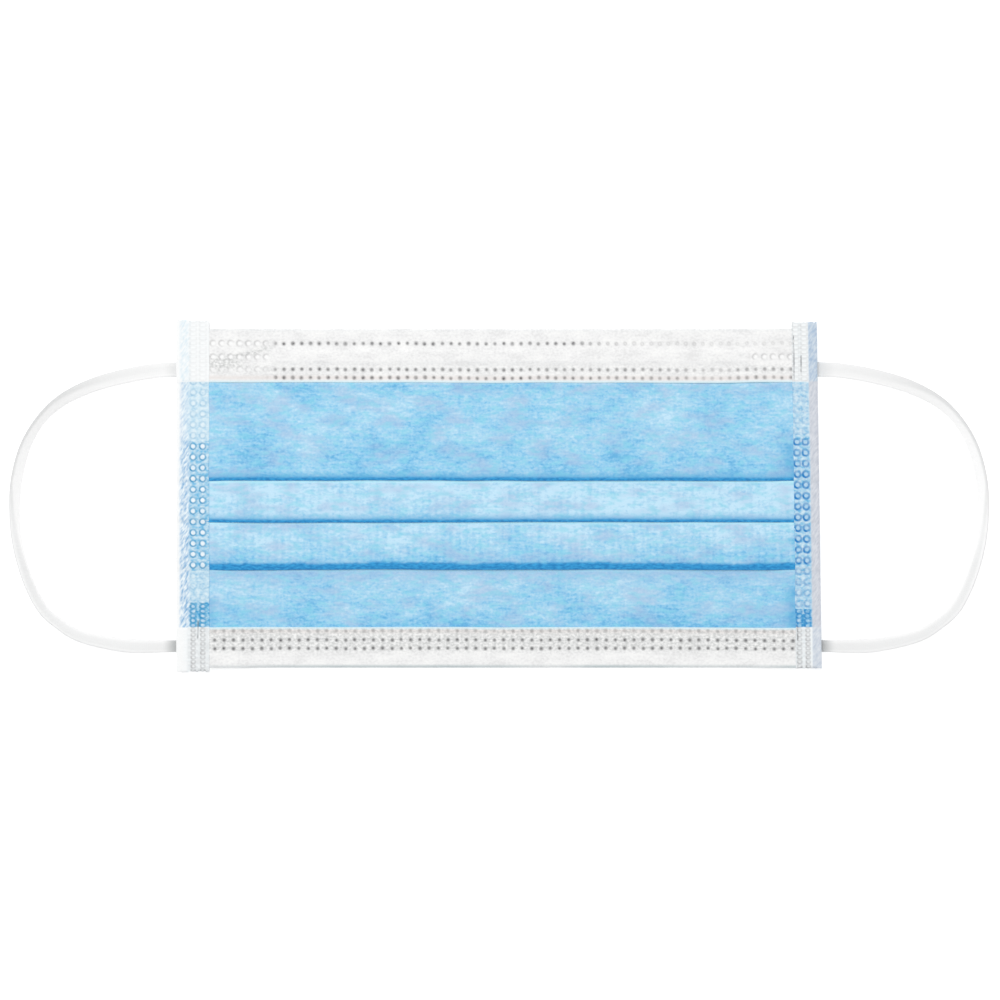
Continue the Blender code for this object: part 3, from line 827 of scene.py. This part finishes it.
def add(tree, kind, settings=None, links=None):
    """Adds a node, sets its inputs, its own settings and a ramp's stops, and links sockets to its
    inputs. Returns the first output that the node uses."""
    node = tree.nodes.new("ShaderNode" + kind)
    for key, value in (settings or {}).items():
        if key == "stops":
            for _ in value[2:]:
                node.color_ramp.elements.new(0.5)
            for element, (place, code) in zip(node.color_ramp.elements, value):
                element.position, element.color = place, linear(code)
        elif isinstance(key, int) or key in node.inputs:
            node.inputs[key].default_value = value
        else:
            setattr(node, key, value)
    for key, socket in (links or {}).items():
        tree.links.new(socket, node.inputs[key])
    return next(socket for socket in node.outputs if socket.enabled)


def new_material(name, roughness, sheen, keys, clouds):
    """A matte cloth material, with the place on the cloth in its own UV map, one unit to a
    millimetre, the sockets of the piece's point attributes by name, and its cloudy patterns.
    clouds: for each pattern the length and height of its patches in millimetres, its detail,
    and the way its patches lie, as an angle from the cloth's length."""
    material = bpy.data.materials.new(name)
    material.use_nodes = True
    tree = material.node_tree
    shader = tree.nodes["Principled BSDF"]
    shader.inputs["Roughness"].default_value = roughness
    shader.inputs["Specular IOR Level"].default_value = 0.25
    shader.inputs["Sheen Weight"].default_value = sheen
    shader.inputs["Sheen Roughness"].default_value = 0.6
    scale = UV_SPAN / MM
    place = add(
        tree, "Mapping", {"Scale": (scale, scale, 1.0)},
        {"Vector": add(tree, "UVMap", {"uv_map": "cloth"})},
    )
    fact = {key: add(tree, "Attribute", {"attribute_name": key}) for key in keys}
    patterns = []
    for long, high, detail, turn in clouds:
        squeezed = add(
            tree, "Mapping",
            {"vector_type": "TEXTURE", "Scale": (long, high, 1.0), "Rotation": (0.0, 0.0, turn)},
            {"Vector": place},
        )
        noise = {"Scale": 1.0, "Detail": detail}
        patterns.append(add(tree, "TexNoise", noise, {"Vector": squeezed}))
    return material, tree, shader, place, fact, patterns


# Fibres of spunbond, drawn 0.4 mm wide where the real ones are 0.02 mm
FIBRES = (0.9, 0.4, 4.0, 0.0)


def spunbond_relief(tree, shader, place, fibres, strength):
    """Relief of spunbond: its fibres, and the small melted points that bond them, 0.9 mm apart.
    Returns the pattern of the points."""
    bonds = add(
        tree, "TexVoronoi", {"Scale": 1 / 0.9, "Randomness": 0.35}, {"Vector": place}
    )
    points = add(
        tree, "MapRange", {"From Min": 0.18, "From Max": 0.40}, {"Value": bonds}
    )
    relief = add(
        tree, "Math", {"operation": "MULTIPLY_ADD", 1: 0.5}, {0: points, 2: fibres}
    )
    bump = add(
        tree, "Bump", {"Strength": strength, "Distance": 0.12 * MM}, {"Height": relief}
    )
    tree.links.new(bump, shader.inputs["Normal"])
    return points


def blue_spunbond():
    """Dyed spunbond polypropylene, matte. Its fibres lie unevenly, so the blue comes out in
    clouds, streaks and grain. Where the cloth turns into a fold it doubles, and deepens; the darker
    band above each fold and the seam along its edge are also painted shade, and the thin pale line
    under each edge is painted light."""
    material, tree, shader, place, fact, patterns = new_material(
        "blue spunbond polypropylene", 0.85, 0.04,
        ("shade", "roll", "seam", "rim", "ribbed", "dull"),
        [
            FIBRES, (4.6, 1.9, 3.0, 0.0), (14.0, 9.0, 1.0, 0.0), (1.7, 0.75, 2.0, 0.0),
            (0.8, 0.7, 2.0, 0.0), (9.0, 4.5, 2.0, 0.0), (3.6, 1.5, 2.0, 0.0), (1.3, 0.5, 1.0, 0.0),
        ],
    )
    fibres, streaks, clouds, waves, grain, thin, cyan, flecks = patterns
    points = spunbond_relief(tree, shader, place, fibres, 0.4)
    # The inner strips show fine ribs across them, 2 mm apart
    ribs = add(
        tree, "TexWave", {"Scale": math.pi / 20, "Distortion": 2.5, "Detail": 2.0},
        {"Vector": place},
    )
    ribs = add(tree, "Math", {"operation": "MULTIPLY"}, {0: fact["ribbed"], 1: ribs})
    total = fact["shade"]
    for pattern, amount, middle in (
        (points, -0.07, 0.0),
        (streaks, 0.95, 0.5),
        (clouds, 1.05, 0.5),
        (waves, 1.00, 0.5),
        (grain, 0.85, 0.5),
        (ribs, 0.14, 0.5),
    ):
        total = add(
            tree, "Math", {"operation": "MULTIPLY_ADD", 1: amount}, {0: pattern, 2: total}
        )
        less = {"operation": "SUBTRACT", 1: amount * middle}
        total = add(tree, "Math", less, {0: total})
    stops = [
        (0.00, "#C6E8FB"), (0.15, "#BAE0F6"), (0.30, "#AEDAF3"), (0.45, "#A1D4F1"),
        (0.62, "#92CDEF"), (0.80, "#7FC2EA"), (1.00, "#69B4E2"),
    ]
    colour = add(tree, "ValToRGB", {"stops": stops}, {"Fac": total})
    # Patches that lean to lavender, where the white plies show through thin cloth, and to cyan.
    # Under the third fold the lavender grey is painted in as well, as painted shade of that fold
    reach = {"From Min": 0.48, "From Max": 0.66, "To Max": 0.50}
    thin = add(tree, "MapRange", reach, {"Value": thin})
    thin = add(tree, "Math", {"operation": "MAXIMUM"}, {0: thin, 1: fact["dull"]})
    cyan = add(tree, "MapRange", reach, {"Value": cyan})
    # Of these tints, the third is painted shade above and under each fold, with the cloth's own
    # deeper blue in the STAINS, and the fourth is painted light under each fold's edge
    for share, code in (
        (thin, "#AEC4E4"), (cyan, "#8AD8EC"), (fact["roll"], "#56AADB"), (fact["rim"], "#C4F6FF"),
    ):
        colour = add(
            tree, "Mix", {"data_type": "RGBA", 7: linear(code)}, {0: share, 6: colour}
        )
    # The deep seam along each fold's edge: doubled cloth and painted shade in the crevice
    stops = [(0.35, "#2684C4"), (0.65, "#3BA3DE")]
    deep = add(tree, "ValToRGB", {"stops": stops}, {"Fac": flecks})
    colour = add(
        tree, "Mix", {"data_type": "RGBA"}, {0: fact["seam"], 6: colour, 7: deep}
    )
    tree.links.new(colour, shader.inputs["Base Color"])
    return material


def white_spunbond():
    """Bleached spunbond polypropylene, matte. A weld dot is a pit melted thin; its grey is partly
    that thin spot and partly painted shade in the pit. The cloth round the dots is puckered, and
    painted darker as painted shade round the pits and in its wrinkles, and the blue of the panel
    comes through at the flap's free edge."""
    material, tree, shader, place, fact, (fibres, grain, clouds) = new_material(
        "white spunbond polypropylene", 0.85, 0.06,
        ("weld", "ring", "hollow", "rim", "free", "worked", "warm"),
        [FIBRES, (0.8, 0.6, 2.0, 0.0), (6.0, 3.0, 2.0, 0.0)],
    )
    spunbond_relief(tree, shader, place, fibres, 0.4)
    uneven = add(tree, "Math", {"operation": "ADD"}, {0: grain, 1: clouds})
    uneven = add(
        tree, "MapRange", {"From Min": 0.75, "From Max": 1.25}, {"Value": uneven}
    )
    stops = [(0.0, "#E9E9E9"), (0.45, "#F3F3F3"), (1.0, "#FBFBFA")]
    colour = add(tree, "ValToRGB", {"stops": stops}, {"Fac": uneven})
    # The grain breaks up the painted shade of the puckered cloth a good deal, and the weld dots a
    # little
    broken = {}
    for key, least, most in (("worked", 0.74, 0.0), ("weld", 0.68, 1.0)):
        reach = {"From Min": 0.35, "From Max": 0.65, "To Min": least, "To Max": most}
        share = add(tree, "MapRange", reach, {"Value": grain})
        broken[key] = add(tree, "Math", {"operation": "MULTIPLY"}, {0: fact[key], 1: share})
    # Of these tints, the grey of the puckered cloth is painted shade, the ring's grey is a weld
    # mark painted stronger on one side as painted shade, and the weld's dark grey is partly painted
    # shade in the pits
    for share, code in (
        (fact["warm"], "#EAE3E0"),
        (broken["worked"], "#C9CBCA"),
        (fact["free"], "#D4F2FC"),
        (fact["rim"], "#B0C0C4"),
        (fact["hollow"], "#FCFCFC"),
        (fact["ring"], "#C2C2C2"),
        (broken["weld"], "#504F52"),
    ):
        colour = add(
            tree, "Mix", {"data_type": "RGBA", 7: linear(code)}, {0: share, 6: colour}
        )
    tree.links.new(colour, shader.inputs["Base Color"])
    return material


def binding_tape(name, look):
    """Thin embossed spunbond tape, with crinkles, steep and aslant, and softer mottling. The
    crinkles of the outer strip are painted as pale and deeper patches: partly the blue coming
    through, partly painted highlight and shade of the crinkles. What lies under it comes through:
    white over the hems, blue over the panel, most where the pleats stack, and in the melted lines
    of the weld marks. The creases and the right side's outer edge are painted grey as painted
    shade, and the chin end is painted grey."""
    material, tree, shader, place, fact, (fibres, crinkle, mottle) = new_material(
        name, 0.75, 0.06, ("line", "fill", "under", "outer", "covers", "cool", "crease"),
        [FIBRES, (1.7, 0.62, 1.0, look["slant"]), (1.2, 0.9, 2.0, 0.0)],
    )
    spunbond_relief(tree, shader, place, fibres, 0.5)
    reach = {"From Min": 0.30, "From Max": 0.70, "To Min": 0.55, "To Max": 1.45}
    blue = add(tree, "MapRange", reach, {"Value": mottle})
    blue = add(tree, "Math", {"operation": "MULTIPLY"}, {0: fact["under"], 1: blue})
    stops = [
        (0.0, "#FBFCFC"), (0.2, "#E4F3FA"), (0.4, "#CEE7F4"), (0.6, "#AFD5EC"),
        (0.8, "#80C3E7"), (1.0, "#4AA0D4"),
    ]
    colour = add(tree, "ValToRGB", {"stops": stops}, {"Fac": blue})
    # The outer strip's crinkles: pale and deeper patches, partly blue coming through and partly
    # painted highlight and shade
    strips = [
        add(tree, "ValToRGB", {"stops": look[key]}, {"Fac": crinkle})
        for key in ("strip", "cool strip")
    ]
    over = {"data_type": "RGBA"}
    strip = add(tree, "Mix", over, {0: fact["cool"], 6: strips[0], 7: strips[1]})
    colour = add(tree, "Mix", over, {0: fact["outer"], 6: colour, 7: strip})
    # The marks are grey and white over the hems, and blue where blue is covered
    for share, plain, covered in (
        (fact["line"], "#9C9A9A", look["line"]), (fact["fill"], "#FCFCFC", look["fill"]),
    ):
        pair = {"data_type": "RGBA", 6: linear(plain), 7: linear(covered)}
        mark = add(tree, "Mix", pair, {0: fact["covers"]})
        colour = add(tree, "Mix", over, {0: share, 6: colour, 7: mark})
    # The grey of the creases and of the right side's outer edge is painted shade; at the chin end
    # it is painted grey
    grey = {"data_type": "RGBA", 7: linear("#62656C")}
    colour = add(tree, "Mix", grey, {0: fact["crease"], 6: colour})
    tree.links.new(colour, shader.inputs["Base Color"])
    return material


def knitted_elastic():
    """Fine warp-knitted nylon and spandex, white and a little fuzzy, so it stays light where it
    turns away. Stitches about 0.5 mm long run along it. Its sides and a stripe along it are
    painted in half shade, and its ends are painted grey, a painted shadow where they meet the
    bindings."""
    material, tree, shader, place, fact, _ = new_material(
        "white knitted elastic", 0.7, 0.35, ("edge", "groove", "grip"), []
    )
    stitches = add(
        tree, "TexWave", {"Scale": 0.62, "Distortion": 0.6, "bands_direction": "X"},
        {"Vector": place},
    )
    bump = add(
        tree, "Bump", {"Strength": 0.25, "Distance": 0.1 * MM}, {"Height": stitches}
    )
    tree.links.new(bump, shader.inputs["Normal"])
    # Painted shade: the sides greyer where the band turns away, then the stripe and the grey ends
    stops = [(0.80, "#FDFDFD"), (0.95, "#F6F6F6"), (1.00, "#E8E9E9")]
    colour = add(tree, "ValToRGB", {"stops": stops}, {"Fac": fact["edge"]})
    for share, code in ((fact["groove"], "#D6D7D7"), (fact["grip"], "#9C9F9F")):
        colour = add(
            tree, "Mix", {"data_type": "RGBA", 7: linear(code)}, {0: share, 6: colour}
        )
    tree.links.new(colour, shader.inputs["Base Color"])
    return material


# The stage

def build_stage():
    """A flat white sweep under the mask, two soft lights and an even sky."""
    material, _, shader, *_ = new_material("white paper sweep", 0.9, 0.0, (), [])
    shader.inputs["Base Color"].default_value = linear("#FFFFFF")
    shader.inputs["Emission Color"].default_value = linear("#FFFFFF")
    shader.inputs["Emission Strength"].default_value = SWEEP_GLOW
    u, v = np.array([[0, 1], [0, 1]]), np.array([[0, 0], [1, 1]])
    height = np.full(u.shape, SWEEP_HEIGHT)
    corners = np.stack([SWEEP_HALF * (2 * u - 1), SWEEP_HALF * (2 * v - 1), height], axis=-1)
    grid_piece("paper_sweep", corners, {}, (u, v), 0.0, material)

    world = bpy.data.worlds.new("even sky")
    world.use_nodes = True
    sky = world.node_tree.nodes["Background"]
    sky.inputs["Color"].default_value = linear("#FFFFFF")
    sky.inputs["Strength"].default_value = SKY_STRENGTH
    bpy.context.scene.world = world
    for name, place, size, power in LIGHTS:
        lamp = bpy.data.lights.new(name, "AREA")
        lamp.size = size
        lamp.energy = power
        item = bpy.data.objects.new(name, lamp)
        item.location = place
        item.rotation_mode = "QUATERNION"
        item.rotation_quaternion = (-Vector(place)).to_track_quat("-Z", "Y")
        bpy.context.scene.collection.objects.link(item)
    bpy.context.scene.view_settings.view_transform = "Standard"


def build_camera():
    """A long lens straight above the mask, at the distance that gives the photograph's width."""
    camera = bpy.data.cameras.new("camera")
    camera.lens = LENS
    camera.sensor_width = SENSOR
    item = bpy.data.objects.new("camera", camera)
    item.location = (*VIEW_CENTRE, VIEW_PLANE + VIEW_WIDTH * LENS / SENSOR)
    bpy.context.scene.collection.objects.link(item)
    bpy.context.scene.camera = item


build_camera()
elastic = knitted_elastic()
for side, word in ((-1, "left"), (1, "right")):
    band, line, length = build_loop(f"ear_loop_{word}_band", side, elastic)
    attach(band, "root")
    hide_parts(f"ear_loop_{word}")

blue = blue_spunbond()
white = white_spunbond()
outer_layer = build_ply("outer_layer", 1, blue)
inner_layer = build_ply("inner_layer", -1, white)
nose_cloth = build_hem("nose_hem_cloth", NOSE_EDGE, NOSE_HEM, "nose", white)
chin_cloth = build_hem("chin_hem_cloth", CHIN_EDGE, CHIN_HEM, "chin", white)
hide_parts("pleated_panel")
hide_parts("nose_hem")
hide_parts("chin_hem")
for piece, slot in (
    (outer_layer, "blue_cloth"),
    (inner_layer, "white_cloth"),
    (nose_cloth, "white_cloth"),
    (chin_cloth, "white_cloth"),
):
    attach(piece, "root")

for side, word in ((-1, "left"), (1, "right")):
    tape = binding_tape(f"{word} spunbond binding tape", TAPE_LOOKS[word])
    binding = build_binding(f"side_binding_{word}_tape", word, side, tape)
    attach(binding, "root")
    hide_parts(f"side_binding_{word}")

build_stage()
